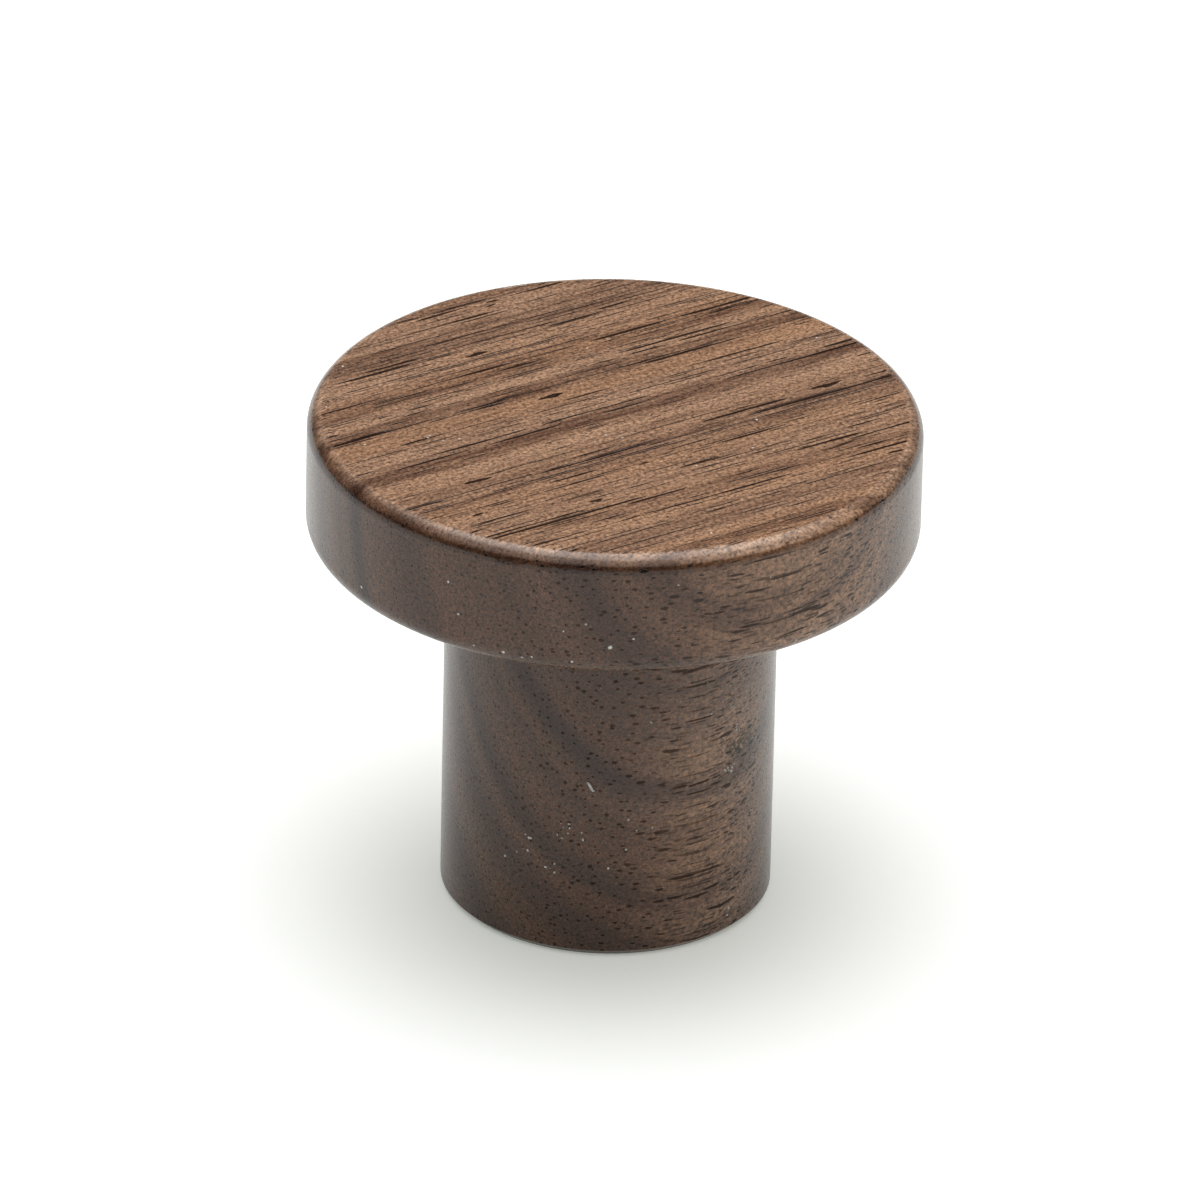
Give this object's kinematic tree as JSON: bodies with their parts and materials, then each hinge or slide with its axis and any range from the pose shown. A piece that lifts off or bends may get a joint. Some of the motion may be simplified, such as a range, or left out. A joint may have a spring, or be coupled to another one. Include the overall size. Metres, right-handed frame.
{
  "type": "cabinet knob",
  "caption": "Turned walnut knob for a cabinet door or drawer: a flat round head on a straight round stem, with a threaded insert in its base for a screw from behind.",
  "frame": {"origin": "centre of the flat base, where the knob meets the drawer or door front", "axes": "+Z along the knob's axis from the base to the head's top face; -Y towards the pictured side, +X to its right"},
  "size_m": [0.035, 0.035, 0.03],
  "materials": {
    "walnut": "satin clear lacquer",
    "brass": "machined"
  },
  "bodies": {
    "root": {"knob_body": "walnut", "threaded_insert": "brass"}
  },
  "joints": []
}
